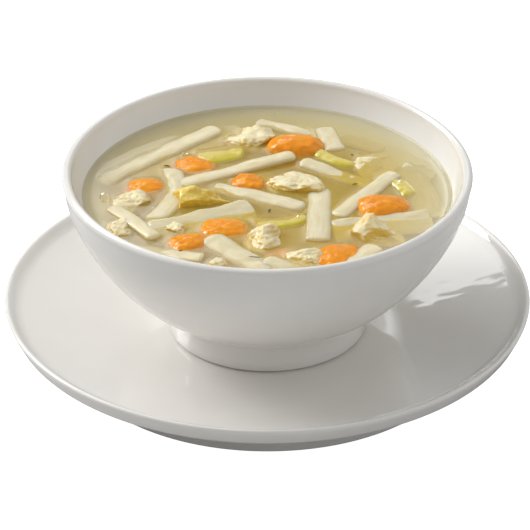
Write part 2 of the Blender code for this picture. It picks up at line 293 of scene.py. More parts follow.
def roll_out(name, start, end, width, heights, bow=0.0, roll=0.0, thickness=2.4, rounding=0.4):
    """One ribbon of cooked pasta from start to end, in millimetres from the bowl's axis.

    heights are its ends' heights above the broth, bow bends it sideways, and roll tips it about
    its length, in degrees. rounding is how far its ends are rounded, as a share of its width.
    """
    bpy.ops.object.select_all(action="DESELECT")
    bpy.ops.mesh.primitive_grid_add(x_subdivisions=36, y_subdivisions=10, size=2, calc_uvs=True)
    ribbon = bpy.context.object
    ribbon.name = name
    only_this(ribbon)
    shell = ribbon.modifiers.new("Thickness", "SOLIDIFY")
    shell.thickness = 2.0
    shell.offset = 0.0
    smooth = ribbon.modifiers.new("Swelling", "SUBSURF")
    smooth.levels = 1
    smooth.render_levels = 1
    for modifier in list(ribbon.modifiers):
        bpy.ops.object.modifier_apply(modifier=modifier.name)
    start, end = Vector(start), Vector(end)
    along = (end - start).normalized()
    across = Vector((-along.y, along.x))
    length = (end - start).length
    low, high = heights
    tip = math.radians(roll)
    for point in ribbon.data.vertices:
        share, side, layer = (point.co.x + 1) / 2, point.co.y, point.co.z
        inset = rounding * width * (1 - math.sqrt(1 - (0.985 * side) ** 2))
        reach = inset + share * (length - 2 * inset)
        curve = 4 * (reach / length) * (1 - reach / length)
        end_gap = min(reach - inset, length - inset - reach) / (0.8 * thickness)
        plump = math.sqrt(1 - abs(0.98 * side) ** 2.6)
        plump *= math.sqrt(1 - 0.75 * max(1 - end_gap, 0.0) ** 2)
        wander = sway * noise.noise(Vector((reach / sway_length, start.x, start.y)))
        widen = 1 + widening * noise.noise(Vector((reach / widening_length, start.y, start.x)))
        spread = side * width / 2 * widen
        rise = layer * plump * thickness / 2
        height = low + (high - low) * share
        height += heave * noise.noise(Vector((reach / heave_length, start.y, 4.0)))
        sideways = bow * curve + wander + spread * math.cos(tip) - rise * math.sin(tip)
        spot = start + along * reach + across * sideways
        upwards = height + spread * math.sin(tip) + rise * math.cos(tip)
        point.co = Vector((spot.x * MM, spot.y * MM, broth_level + upwards * MM))
    uneven = ribbon.modifiers.new("Unevenness", "DISPLACE")
    uneven.texture = cooked_swelling
    uneven.texture_coords = "LOCAL"
    uneven.strength = 0.5 * MM
    bpy.ops.object.modifier_apply(modifier=uneven.name)
    bpy.ops.object.shade_smooth()
    return ribbon


def haze_with_depth(material, colour, haze, clear=0.3, lost=7.0):
    """Mixes a colour towards haze as the surface lies deeper, from clear to lost millimetres."""
    place = add_node(material, "TexCoord").outputs["Object"]
    depth = add_node(material, "SeparateXYZ", {"Vector": place}).outputs["Z"]
    sunk = add_node(
        material,
        "MapRange",
        {
            "Value": depth,
            "From Min": broth_level - clear * MM,
            "From Max": broth_level - lost * MM,
            "To Max": 0.9,
        },
    )
    # A colour mix takes its two colours at sockets 6 and 7 and gives the result at 2.
    feeds = {"Factor": sunk.outputs["Result"], 6: colour, 7: linear(haze)}
    return add_node(material, "Mix", feeds, data_type="RGBA").outputs[2]


cooked_swelling = bpy.data.textures.new("cooked_swelling", "CLOUDS")
cooked_swelling.noise_scale = 6 * MM
cooked_swelling.noise_depth = 1

# Cooked egg dough: cream, a little translucent, wet. Faint streaks run along it from the rollers.
cooked_pasta = new_material("cooked_egg_pasta")
pasta_place = add_node(cooked_pasta, "TexCoord")
pasta_streaks = add_node(
    cooked_pasta, "Mapping", {"Vector": pasta_place.outputs["UV"], "Scale": (2.5, 5.0, 1.0)}
)
pasta_grain = add_node(
    cooked_pasta, "TexNoise", {"Vector": pasta_streaks.outputs["Vector"], "Scale": 1.6, "Detail": 3.0}
)
pasta_colour = add_node(cooked_pasta, "ValToRGB", {"Fac": pasta_grain.outputs["Fac"]})
colour_stops(pasta_colour, (0.25, "DACCA0"), (0.55, "DFD4B0"), (0.8, "E6DDC2"))
# Painted shade: each ribbon's colour is darkened along both of its long edges.
pasta_across = add_node(cooked_pasta, "SeparateXYZ", {"Vector": pasta_place.outputs["UV"]}).outputs["Y"]
pasta_painted_rim_shade = add_node(cooked_pasta, "ValToRGB", {"Fac": pasta_across})
colour_stops(pasta_painted_rim_shade, (0.0, "C8B680"), (0.2, "FFFFFF"), (0.8, "FFFFFF"), (1.0, "C8B680"))
pasta_with_painted_rims = add_node(
    cooked_pasta,
    "Mix",
    {"Factor": 0.45, 6: pasta_colour.outputs["Color"], 7: pasta_painted_rim_shade.outputs["Color"]},
    data_type="RGBA",
    blend_type="MULTIPLY",
)
pasta_seen = haze_with_depth(cooked_pasta, pasta_with_painted_rims.outputs[2], "EBDCA8", clear=0.3, lost=12.0)
pasta_fine = add_node(
    cooked_pasta,
    "TexNoise",
    {"Vector": pasta_place.outputs["Object"], "Scale": 1 / (1.2 * MM), "Detail": 3.0},
)
pasta_bump = add_node(
    cooked_pasta, "Bump", {"Height": pasta_fine.outputs["Fac"], "Strength": 0.25, "Distance": 0.3 * MM}
)
pasta_shader = add_node(
    cooked_pasta,
    "BsdfPrincipled",
    {
        "Base Color": pasta_seen,
        "Roughness": 0.5,
        "Specular IOR Level": 0.2,
        "Subsurface Weight": 0.8,
        "Subsurface Radius": (1.0, 0.85, 0.55),
        "Subsurface Scale": 4 * MM,
        "Coat Weight": 0.5,
        "Coat Roughness": 0.12,
        "Normal": pasta_bump.outputs["Normal"],
    },
)
show(cooked_pasta, pasta_shader.outputs["BSDF"])

floating_noodles = {
    "noodle_back_left": dict(
        start=(-65.0, 10.0), end=(-19.0, 53.8), width=9.0, heights=(-1.1, -0.3), bow=1.0,
    ),
    "noodle_left_curved": dict(
        start=(-37.5, 20.5), end=(-44.0, -20.5), width=9.0, heights=(-0.6, -0.5), bow=4.5,
        rounding=0.25,
    ),
    "noodle_back_short": dict(
        start=(22.6, 55.0), end=(27.4, 34.8), width=8.8, heights=(-0.8, -0.2), rounding=0.15,
    ),
    "noodle_right_edge": dict(
        start=(25.0, -28.2), end=(63.9, -19.6), width=12.5, heights=(-1.6, -0.9), roll=15.0,
        rounding=0.06, thickness=2.0,
    ),
    "noodle_broad_tipped": dict(
        start=(-44.5, -29.8), end=(-5.2, -12.0), width=13.5, heights=(-1.4, -0.6), roll=15.0,
        rounding=0.12, thickness=2.0,
    ),
    "noodle_front_left": dict(
        start=(-50.0, -43.5), end=(-24.5, -51.5), width=7.4, heights=(-1.6, -0.1), rounding=0.1,
    ),
    "noodle_front_middle": dict(
        start=(-22.5, -35.0), end=(0.5, -60.0), width=10.6, heights=(0.1, -1.0), rounding=0.3,
    ),
    "noodle_front_rim": dict(
        start=(-0.8, -51.5), end=(16.0, -62.0), width=8.6, heights=(-0.4, -1.2), rounding=0.4,
    ),
    "noodle_rim_right": dict(start=(31.0, -58.0), end=(42.0, -43.5), width=9.4, heights=(0.2, 0.8)),
    "noodle_middle": dict(start=(-21.5, 6.8), end=(14.5, -11.6), width=8.6, heights=(-0.9, 0.0)),
    "noodle_right_low": dict(start=(13.2, 25.6), end=(41.5, 7.4), width=7.8, heights=(0.3, -1.6)),
    "noodle_left_raised": dict(
        start=(-60.5, -11.5), end=(-42.6, -36.8), width=6.8, heights=(0.0, 0.9), rounding=0.25,
        thickness=2.8,
    ),
    "noodle_back_top": dict(
        start=(-34.5, 7.6), end=(10.8, 29.4), width=7.8, heights=(-0.5, 1.2), thickness=2.6,
    ),
    "noodle_front_upright": dict(
        start=(20.6, 5.2), end=(18.8, -38.6), width=9.8, heights=(-0.8, 0.3), rounding=0.12,
    ),
    "noodle_right_top": dict(start=(26.6, -18.8), end=(50.4, 16.2), width=7.6, heights=(0.2, -0.2)),
}
afloat = []
for name, ribbon_size in floating_noodles.items():
    ribbon = roll_out("pasta_" + name[7:], **ribbon_size)
    ribbon.data.materials.append(cooked_pasta)
    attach(ribbon, "root")
    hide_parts(name)
    afloat.append(ribbon)

sunk_noodles = {
    "back": dict(
        start=(-4.5, 60.8), end=(21.5, 48.4), width=7.6, heights=(-1.0, -1.4), rounding=0.3,
    ),
    "right_broad": dict(
        start=(55.5, 24.0), end=(63.5, -17.0), width=12.5, heights=(-1.1, -1.5), rounding=0.1,
        thickness=2.0,
    ),
    "right_flap": dict(
        start=(52.5, 23.0), end=(65.0, 15.0), width=9.0, heights=(-0.8, -1.3), rounding=0.2,
        thickness=1.8,
    ),
    "back_right": dict(start=(28.5, 47.0), end=(46.5, 39.4), width=9.0, heights=(-1.4, -1.9)),
    "middle": dict(start=(-6.0, 15.0), end=(9.0, 7.0), width=7.0, heights=(-1.4, -1.8)),
}
for name, ribbon_size in sunk_noodles.items():
    ribbon = roll_out("pasta_sunk_" + name, **ribbon_size)
    ribbon.data.materials.append(cooked_pasta)
    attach(ribbon, "root")

# ---------------------------------------------------------------------------------------------
# The carrots. Dice cut from thick slices, their corners rounded by cooking, wet and glossy.

carrot_pitting = bpy.data.textures.new("carrot_pitting", "CLOUDS")
carrot_pitting.noise_scale = 2.8 * MM
carrot_pitting.noise_depth = 1


def dice_carrot(name, middle, size, turn, taper=0.15):
    """One cooked dice: middle is its place and height above the broth, size its three sides.

    turn is in degrees, and taper is how much narrower one end is than the other, as a share.
    """
    bpy.ops.object.select_all(action="DESELECT")
    bpy.ops.mesh.primitive_cube_add(size=1)
    dice = bpy.context.object
    dice.name = name
    bpy.ops.object.mode_set(mode="EDIT")
    bpy.ops.mesh.select_all(action="SELECT")
    bpy.ops.mesh.bevel(offset=0.2, segments=1, affect="EDGES")
    bpy.ops.object.mode_set(mode="OBJECT")
    only_this(dice)
    smooth = dice.modifiers.new("Rounding", "SUBSURF")
    smooth.levels = 4
    smooth.render_levels = 4
    worn = dice.modifiers.new("Wear", "CAST")
    worn.factor = 0.5
    worn.size = 0.5
    for modifier in list(dice.modifiers):
        bpy.ops.object.modifier_apply(modifier=modifier.name)
    for point in dice.data.vertices:
        narrowing = 1 - taper * (point.co.x + 0.5)
        lean = 1 + 0.08 * noise.noise(point.co * 2 + Vector((middle[0], middle[1], 0)))
        spot = (point.co.x * size[0], point.co.y * size[1] * narrowing, point.co.z * size[2])
        point.co = Vector(spot) * MM * lean
    x, y, height = middle
    spot = Matrix.Translation(Vector((x * MM, y * MM, broth_level + height * MM)))
    dice.data.transform(spot @ Matrix.Rotation(math.radians(turn), 4, "Z"))
    uneven = dice.modifiers.new("Pitting", "DISPLACE")
    uneven.texture = carrot_pitting
    uneven.texture_coords = "LOCAL"
    uneven.strength = 0.8 * MM
    bpy.ops.object.modifier_apply(modifier=uneven.name)
    bpy.ops.object.shade_smooth()
    return dice


# Cooked carrot: bright orange with paler grains, finely pitted under a wet film that glints.
cooked_carrot = new_material("cooked_carrot")
carrot_place = add_node(cooked_carrot, "TexCoord").outputs["Object"]
carrot_flesh = add_node(
    cooked_carrot, "TexNoise", {"Vector": carrot_place, "Scale": 1 / (4 * MM), "Detail": 4.0}
)
carrot_colour = add_node(cooked_carrot, "ValToRGB", {"Fac": carrot_flesh.outputs["Fac"]})
colour_stops(carrot_colour, (0.3, "EA8C04"), (0.6, "F49C0E"), (0.8, "FBAE2C"))
carrot_seen = haze_with_depth(
    cooked_carrot, carrot_colour.outputs["Color"], "FFD2B4", clear=-0.2, lost=3.2
)
carrot_fine = add_node(
    cooked_carrot, "TexNoise", {"Vector": carrot_place, "Scale": 1 / (0.9 * MM), "Detail": 2.0}
)
carrot_bump = add_node(
    cooked_carrot,
    "Bump",
    {"Height": carrot_fine.outputs["Fac"], "Strength": 0.45, "Distance": 0.4 * MM},
)
carrot_shader = add_node(
    cooked_carrot,
    "BsdfPrincipled",
    {
        "Base Color": carrot_seen,
        "Roughness": 0.45,
        "Specular IOR Level": 0.1,
        "Subsurface Weight": 0.15,
        "Subsurface Radius": (1.0, 0.45, 0.1),
        "Subsurface Scale": 1.5 * MM,
        "Coat Weight": 0.7,
        "Coat Roughness": 0.06,
        "Normal": carrot_bump.outputs["Normal"],
    },
)
show(cooked_carrot, carrot_shader.outputs["BSDF"])

floating_carrots = {
    "carrot_left": dict(middle=(-48.0, 6.0, -3.2), size=(17.0, 16.5, 8.6), turn=10.0),
    "carrot_back_left": dict(
        middle=(-28.4, 23.6, -2.8), size=(20.0, 17.0, 7.6), turn=-20.0, taper=0.25,
    ),
    "carrot_back": dict(middle=(11.4, 38.0, -2.6), size=(23.5, 17.0, 13.0), turn=-6.0),
    "carrot_middle": dict(middle=(-7.2, 8.6, -2.6), size=(14.5, 13.0, 9.5), turn=-20.0),
    "carrot_front_middle": dict(middle=(-16.6, -27.6, -3.0), size=(21.0, 17.0, 9.2), turn=5.0),
    "carrot_front_left": dict(middle=(-30.2, -38.2, -3.1), size=(18.5, 15.5, 9.2), turn=22.0),
    "carrot_right": dict(middle=(45.0, -10.4, -2.8), size=(22.5, 18.0, 12.0), turn=12.0),
    "carrot_front_right": dict(middle=(27.0, -49.2, -3.3), size=(21.5, 20.0, 10.6), turn=20.0),
}
for name, dice_size in floating_carrots.items():
    dice = dice_carrot("diced_" + name, **dice_size)
    dice.data.materials.append(cooked_carrot)
    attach(dice, "root")
    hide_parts(name)
    afloat.append(dice)

sunk_carrot = dice_carrot(
    "diced_carrot_sunk", middle=(4.8, -44.0, -5.6), size=(16.0, 14.0, 9.0), turn=8.0
)
sunk_carrot.data.materials.append(cooked_carrot)
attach(sunk_carrot, "root")

# ---------------------------------------------------------------------------------------------
# The chicken. Poached breast meat torn in lumps: flat torn faces, ridges along the fibres, a rough
# crumbly surface, cream with patches where fat and broth have dyed it yellow, painted lighter cream
# where it faces up and painted yellow shade down its sides.

# The meat's grain: how far each kind stands out and how wide it is, in millimetres.
lump_rise, lump_span = 0.8, 6.0
fibre_rise, fibre_length, fibre_width = 0.38, 8, 1.3
crumb_rise, crumb_span = 0.28, 0.9
torn_faces = 5


def tear_chicken(name, middle, size, turn, seed, peaks=()):
    """One torn lump, its fibres along its length and flat faces torn across it.

    Each of its peaks is a place on the lump, a rise in millimetres and a reach.
    """
    bpy.ops.object.select_all(action="DESELECT")
    bpy.ops.mesh.primitive_ico_sphere_add(subdivisions=5, radius=0.5)
    lump = bpy.context.object
    lump.name = name
    draw = random.Random(seed)
    phases = [draw.uniform(0, 2 * math.pi) for _ in range(3)]
    faces = []
    for _ in range(torn_faces):
        facing = Vector(
            (draw.uniform(-1, 1), draw.uniform(-1, 1), draw.uniform(-0.2, 0.9))
        ).normalized()
        faces.append((facing, draw.uniform(0.26, 0.38)))
    shift = Vector((draw.uniform(0, 9), draw.uniform(0, 9), draw.uniform(0, 9)))
    for point in lump.data.vertices:
        spot = point.co.copy()
        out = spot.normalized()
        swell = 1 + 0.10 * math.sin(7 * spot.x + phases[0]) + 0.09 * math.sin(8 * spot.y + phases[1])
        swell += 0.07 * math.sin(9 * spot.z + 5 * spot.x + phases[2])
        for facing, reach in faces:
            past = spot.dot(facing) - reach
            if past > 0:
                spot -= facing * past * 0.85
        scaled = Vector((spot.x * size[0], spot.y * size[1], spot.z * size[2])) * swell
        for east, north, rise, reach in peaks:
            near = math.exp(-((spot.x - east) ** 2 + (spot.y - north) ** 2) / (2 * reach**2))
            scaled.z += rise * near * max(out.z, 0.0)
        lumps = noise.fractal(scaled / lump_span + shift, 1.0, 2.0, 3)
        slant = Vector((scaled.x + 0.5 * scaled.z, scaled.y - 0.45 * scaled.x, scaled.z))
        strand = Vector((slant.x / fibre_length, slant.y / fibre_width, slant.z / fibre_width))
        fibres = 0.5 - 1.7 * abs(noise.noise(strand + shift))
        crumbs = noise.noise(scaled / crumb_span + shift)
        rough = lump_rise * lumps + fibre_rise * fibres + crumb_rise * crumbs
        point.co = (scaled + out * rough) * MM
    x, y, height = middle
    spot = Matrix.Translation(Vector((x * MM, y * MM, broth_level + height * MM)))
    lump.data.transform(spot @ Matrix.Rotation(math.radians(turn), 4, "Z"))
    only_this(lump)
    bpy.ops.object.shade_smooth()
    return lump


def poach(name, cream, fat_and_side_shade):
    """Chicken meat: cream, dyed yellow by fat in patches; painted cream light on top, painted yellow
    shade on its sides.
    """
    meat = new_material(name)
    place = add_node(meat, "TexCoord").outputs["Object"]
    patches = add_node(meat, "TexNoise", {"Vector": place, "Scale": 1 / (5 * MM), "Detail": 5.0})
    # Painted light and shade: the more a face turns up, the more cream it is painted; faces turned
    # sideways are painted yellow.
    facing = add_node(meat, "SeparateXYZ", {"Vector": add_node(meat, "NewGeometry").outputs["Normal"]})
    painted_top_light = add_node(
        meat, "MapRange", {"Value": facing.outputs["Z"], "From Min": 0.2, "From Max": 1.2}
    )
    share = add_node(
        meat, "Math", {0: patches.outputs["Fac"], 1: painted_top_light.outputs["Result"]}, operation="ADD"
    )
    dye_and_painted_shade = add_node(meat, "Math", {0: share.outputs[0], 1: 0.6}, operation="MULTIPLY")
    colour = add_node(meat, "ValToRGB", {"Fac": dye_and_painted_shade.outputs[0]})
    colour_stops(colour, (0.47, fat_and_side_shade), (0.72, cream))
    seen = haze_with_depth(meat, colour.outputs["Color"], "E8D08C", lost=14.0)
    grain = add_node(meat, "TexNoise", {"Vector": place, "Scale": 1 / (1.0 * MM), "Detail": 5.0})
    bump = add_node(
        meat, "Bump", {"Height": grain.outputs["Fac"], "Strength": 0.7, "Distance": 0.5 * MM}
    )
    shader = add_node(
        meat,
        "BsdfPrincipled",
        {
            "Base Color": seen,
            "Roughness": 0.5,
            "Specular IOR Level": 0.2,
            "Subsurface Weight": 0.4,
            "Subsurface Radius": (1.0, 0.7, 0.35),
            "Subsurface Scale": 1.5 * MM,
            "Coat Weight": 0.5,
            "Coat Roughness": 0.15,
            "Normal": bump.outputs["Normal"],
        },
    )
    show(meat, shader.outputs["BSDF"])
    return meat


poached_chicken = poach("poached_chicken", cream="EFE3BA", fat_and_side_shade="DCB850")
fatty_chicken = poach("fatty_chicken", cream="F0D674", fat_and_side_shade="E6BE3C")

floating_chicken = {
    "chicken_back": dict(middle=(-6.0, 47.8, -1.6), size=(25.0, 20.0, 8.0), turn=-4.0, seed=3),
    "chicken_middle": dict(middle=(11.0, 7.6, -0.8), size=(24.0, 17.0, 10.5), turn=-14.0, seed=11),
    "chicken_left": dict(middle=(-53.6, -6.4, -1.5), size=(20.0, 19.0, 7.5), turn=-25.0, seed=8),
    "chicken_left_middle": dict(
        middle=(-26.8, -5.0, -1.0), size=(25.0, 15.0, 9.0), turn=8.0, seed=5,
        peaks=[(-0.02, 0.0, 3.4, 0.13), (0.2, 0.05, 2.4, 0.09), (-0.25, 0.0, 1.2, 0.12)],
    ),
    "chicken_front_left": dict(
        middle=(-56.4, -26.6, -1.2), size=(14.0, 14.0, 8.0), turn=-40.0, seed=21,
    ),
    "chicken_crumb": dict(middle=(-36.2, -27.0, -0.6), size=(10.0, 8.0, 5.0), turn=0.0, seed=2),
    "chicken_back_right": dict(
        middle=(41.8, 26.4, -3.0), size=(21.0, 22.0, 7.5), turn=-30.0, seed=17,
    ),
    "chicken_front_middle": dict(
        middle=(-1.6, -37.5, -1.0), size=(18.0, 15.0, 9.5), turn=14.0, seed=14,
        peaks=[(-0.28, 0.34, 5.5, 0.10), (0.25, 0.2, 1.6, 0.12)],
    ),
    "chicken_right": dict(
        middle=(40.4, -30.0, -0.8), size=(24.0, 18.0, 10.5), turn=-12.0, seed=9,
        peaks=[(-0.1, 0.15, 3.0, 0.16), (0.2, 0.1, 2.0, 0.12)],
    ),
    "chicken_front": dict(middle=(16.4, -50.8, -1.2), size=(18.0, 14.0, 8.5), turn=-8.0, seed=6),
    "chicken_front_rim": dict(
        middle=(-17.8, -57.8, -1.2), size=(14.0, 9.0, 6.0), turn=-20.0, seed=12,
    ),
}
for name, lump_size in floating_chicken.items():
    lump = tear_chicken("torn_" + name, **lump_size)
    lump.data.materials.append(fatty_chicken if name == "chicken_left_middle" else poached_chicken)
    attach(lump, "root")
    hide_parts(name)
    afloat.append(lump)

# ---------------------------------------------------------------------------------------------
# The celery. Slices of stalk, crescent shaped, translucent yellow-green with a greener outer skin.

# Cooked celery: green along the skin side, pale yellow flesh, and a wet film over both.
cooked_celery = new_material("cooked_celery")
celery_place = add_node(cooked_celery, "TexCoord")
celery_across = add_node(
    cooked_celery, "SeparateXYZ", {"Vector": celery_place.outputs["UV"]}
).outputs["Y"]
celery_colour = add_node(cooked_celery, "ValToRGB", {"Fac": celery_across})
colour_stops(celery_colour, (0.0, "BEB008"), (0.24, "CCBA1E"), (0.5, "DCCA6A"))
celery_seen = haze_with_depth(cooked_celery, celery_colour.outputs["Color"], "E8D08C", lost=14.0)
celery_fine = add_node(
    cooked_celery,
    "TexNoise",
    {"Vector": celery_place.outputs["Object"], "Scale": 1 / (1.0 * MM), "Detail": 2.0},
)
celery_bump = add_node(
    cooked_celery, "Bump", {"Height": celery_fine.outputs["Fac"], "Strength": 0.4, "Distance": 0.3 * MM}
)
celery_shader = add_node(
    cooked_celery,
    "BsdfPrincipled",
    {
        "Base Color": celery_seen,
        "Roughness": 0.3,
        "Subsurface Weight": 0.4,
        "Subsurface Radius": (1.0, 1.0, 0.3),
        "Subsurface Scale": 2 * MM,
        "Coat Weight": 0.5,
        "Coat Roughness": 0.06,
        "Normal": celery_bump.outputs["Normal"],
    },
)
show(cooked_celery, celery_shader.outputs["BSDF"])

floating_celery = {
    "celery_back_left": dict(
        start=(-28.5, 31.0), end=(-10.0, 39.5), width=15.0, heights=(-1.1, -1.3), bow=-2.5,
        roll=-6.0, thickness=2.8,
    ),
    "celery_front": dict(
        start=(-6.5, -20.0), end=(15.8, -17.5), width=11.0, heights=(-1.5, -1.0), bow=-3.2,
        roll=-8.0, thickness=2.8,
    ),
    "celery_right": dict(
        start=(19.4, 34.6), end=(34.5, 22.5), width=6.4, heights=(0.0, -1.0), bow=-1.6,
        thickness=3.2,
    ),
    "celery_far_right": dict(
        start=(49.4, 10.5), end=(54.8, -2.5), width=6.8, heights=(-0.6, -0.9), bow=1.4,
        thickness=3.2,
    ),
}
for name, slice_size in floating_celery.items():
    piece = roll_out("sliced_" + name, **slice_size)
    piece.data.materials.append(cooked_celery)
    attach(piece, "root")
    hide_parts(name)
    afloat.append(piece)

# ---------------------------------------------------------------------------------------------
# The broth. Straw yellow, clear at the top and cloudy further down. It creeps up the bowl's wall
# and every floating piece, its skin mirrors the room, and its colour deepens away from the wall.

bpy.ops.object.select_all(action="DESELECT")
skin_reach = wall_radius + 1.5 * MM
bpy.ops.mesh.primitive_grid_add(
    x_subdivisions=260, y_subdivisions=260, size=2 * skin_reach, location=(0, 0, broth_level)
)
broth = bpy.context.object
broth.name = "broth_skin"
bpy.ops.object.transform_apply(location=True, rotation=True, scale=True)
waterline = [
    point.co.copy()
    for thing in afloat
    for point in thing.data.vertices
    if abs(point.co.z - broth_level) < 0.35 * MM
]
edges = kdtree.KDTree(len(waterline))
for index, spot in enumerate(waterline):
    edges.insert((spot.x, spot.y, 0.0), index)
edges.balance()
# How high the broth creeps up the wall and the food, how high it ripples, and over what span.
wall_creep, wall_creep_span = 0.6 * MM, 1.3 * MM
food_creep, food_creep_span = 0.12 * MM, 1.1 * MM
ripple_height, ripple_span = 0.04 * MM, 12 * MM
for point in broth.data.vertices:
    across = math.hypot(point.co.x, point.co.y)
    creep = wall_creep * math.exp(-max(wall_radius - across, 0.0) / wall_creep_span)
    away = edges.find((point.co.x, point.co.y, 0.0))[2]
    creep += food_creep * math.exp(-away / food_creep_span)
    ripple = ripple_height * noise.noise(Vector((point.co.x, point.co.y, 0)) / ripple_span)
    point.co.z += creep + ripple
bpy.ops.object.mode_set(mode="EDIT")
bpy.ops.mesh.select_all(action="DESELECT")
bpy.ops.object.mode_set(mode="OBJECT")
for point in broth.data.vertices:
    point.select = math.hypot(point.co.x, point.co.y) > skin_reach
bpy.ops.object.mode_set(mode="EDIT")
bpy.ops.mesh.delete(type="VERT")
bpy.ops.object.mode_set(mode="OBJECT")
only_this(broth)
bpy.ops.object.shade_smooth()

# Clear broth: most light goes through it and is tinted, a fifth is turned back milky, and its
# skin mirrors the room where it is seen at a slant.
clear_broth = new_material("clear_broth")
broth_place = add_node(clear_broth, "TexCoord").outputs["Object"]
broth_flat = add_node(
    clear_broth, "VectorMath", {0: broth_place, 1: (1.0, 1.0, 0.0)}, operation="MULTIPLY"
)
from_axis = add_node(clear_broth, "VectorMath", {0: broth_flat.outputs["Vector"]}, operation="LENGTH")
broth_deep = add_node(
    clear_broth,
    "MapRange",
    {"Value": from_axis.outputs["Value"], "From Min": wall_radius, "From Max": wall_radius - 34 * MM},
)
broth_tint = add_node(clear_broth, "ValToRGB", {"Fac": broth_deep.outputs["Result"]})
colour_stops(broth_tint, (0.0, "FCFAEC"), (1.0, "F6E89C"))
milk_tint = add_node(clear_broth, "ValToRGB", {"Fac": broth_deep.outputs["Result"]})
colour_stops(milk_tint, (0.0, "F4EFD8"), (1.0, "EFD878"))
painted_glow_tint = add_node(clear_broth, "ValToRGB", {"Fac": broth_deep.outputs["Result"]})
colour_stops(painted_glow_tint, (0.0, "F2EACA"), (1.0, "EED45C"))
broth_through = add_node(clear_broth, "BsdfTransparent", {"Color": broth_tint.outputs["Color"]})
broth_milk = add_node(clear_broth, "BsdfDiffuse", {"Color": milk_tint.outputs["Color"]})
broth_body = add_node(
    clear_broth,
    "MixShader",
    {"Fac": 0.2, 1: broth_through.outputs["BSDF"], 2: broth_milk.outputs["BSDF"]},
)
# Painted glow standing in for light scattered inside the broth, painted weakest at the back left, where
# the wall shades it.
from_shade = add_node(
    clear_broth, "VectorMath", {0: broth_place, 1: (0.8, -0.6, 0.0)}, operation="DOT_PRODUCT"
)
painted_glow_strength = add_node(
    clear_broth,
    "MapRange",
    {
        "Value": from_shade.outputs["Value"],
        "From Min": -65 * MM,
        "From Max": 50 * MM,
        "To Min": 0.04,
        "To Max": 0.2,
    },
)
broth_painted_glow = add_node(
    clear_broth,
    "Emission",
    {"Color": painted_glow_tint.outputs["Color"], "Strength": painted_glow_strength.outputs["Result"]},
)
broth_body = add_node(
    clear_broth, "AddShader", {0: broth_body.outputs["Shader"], 1: broth_painted_glow.outputs["Emission"]}
)
broth_gloss = add_node(clear_broth, "BsdfGlossy", {"Color": linear("FFFFFF"), "Roughness": 0.03})
broth_mirror = add_node(clear_broth, "Fresnel", {"IOR": 1.34})
broth_shader = add_node(
    clear_broth,
    "MixShader",
    {
        "Fac": broth_mirror.outputs["Fac"],
        1: broth_body.outputs["Shader"],
        2: broth_gloss.outputs["BSDF"],
    },
)
show(clear_broth, broth_shader.outputs["Shader"])
broth.data.materials.append(clear_broth)
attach(broth, "root")
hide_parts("broth")

# What shows through the broth: close to the wall the white china, and further in a cloud of fine
# starch and fat that hides all that is deeper. One dished sheet stands for both.
bpy.ops.object.select_all(action="DESELECT")
cloud_depth = 11 * MM
cloud_slope = 11 * MM
cloud_rings = 48
drift_height, drift_span = 1.8 * MM, 16 * MM
calm_margin = 12 * MM
cloud_radius = wall_radius + 0.4 * MM
bpy.ops.mesh.primitive_circle_add(
    vertices=128, radius=cloud_radius, fill_type="NOTHING", location=(0, 0, broth_level + 0.3 * MM)
)
cloud = bpy.context.object
cloud.name = "broth_cloud"
bpy.ops.object.transform_apply(location=True, rotation=True, scale=True)
bpy.ops.object.mode_set(mode="EDIT")
bpy.ops.mesh.select_all(action="SELECT")
for ring in range(1, cloud_rings):
    bpy.ops.mesh.extrude_edges_move()
    shrink = (1 - ring / cloud_rings) / (1 - (ring - 1) / cloud_rings)
    bpy.ops.transform.resize(value=(shrink, shrink, 1), center_override=(0, 0, 0))
bpy.ops.mesh.merge(type="CENTER")
bpy.ops.mesh.select_all(action="SELECT")
bpy.ops.mesh.normals_make_consistent(inside=False)
bpy.ops.object.mode_set(mode="OBJECT")
for point in cloud.data.vertices:
    inward = cloud_radius - math.hypot(point.co.x, point.co.y)
    sink = cloud_depth * (1 - math.exp(-inward / cloud_slope))
    drift = noise.fractal(Vector((point.co.x, point.co.y, 0)) / drift_span, 1.0, 2.0, 3)
    point.co.z -= sink + drift_height * drift * min(inward / calm_margin, 1.0)
only_this(cloud)
bpy.ops.object.shade_smooth()
cloudy_broth = new_material("cloudy_broth")
cloud_place = add_node(cloudy_broth, "TexCoord").outputs["Object"]
cloud_deep = add_node(cloudy_broth, "SeparateXYZ", {"Vector": cloud_place}).outputs["Z"]
cloud_share = add_node(
    cloudy_broth,
    "MapRange",
    {"Value": cloud_deep, "From Min": broth_level, "From Max": broth_level - 12 * MM},
)
cloud_colour = add_node(cloudy_broth, "ValToRGB", {"Fac": cloud_share.outputs["Result"]})
colour_stops(cloud_colour, (0.0, "F8F6EA"), (0.4, "F5F0D0"), (0.7, "F0DE88"), (1.0, "EACC54"))
# Its faint emission is a painted glow standing in for light scattered in the broth.
cloud_shader = add_node(
    cloudy_broth,
    "BsdfPrincipled",
    {
        "Base Color": cloud_colour.outputs["Color"],
        "Roughness": 0.8,
        "Specular IOR Level": 0.0,
        "Subsurface Weight": 1.0,
        "Subsurface Radius": (1.0, 0.85, 0.5),
        "Subsurface Scale": 20 * MM,
        "Emission Color": linear("F0CC58"),
        "Emission Strength": 0.03,
    },
    subsurface_method="BURLEY",
)
show(cloudy_broth, cloud_shader.outputs["BSDF"])
cloud.data.materials.append(cloudy_broth)
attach(cloud, "root")

# ---------------------------------------------------------------------------------------------
# The herbs. A few dark shreds of dried leaf, a fraction of a millimetre thick, caught on the broth.

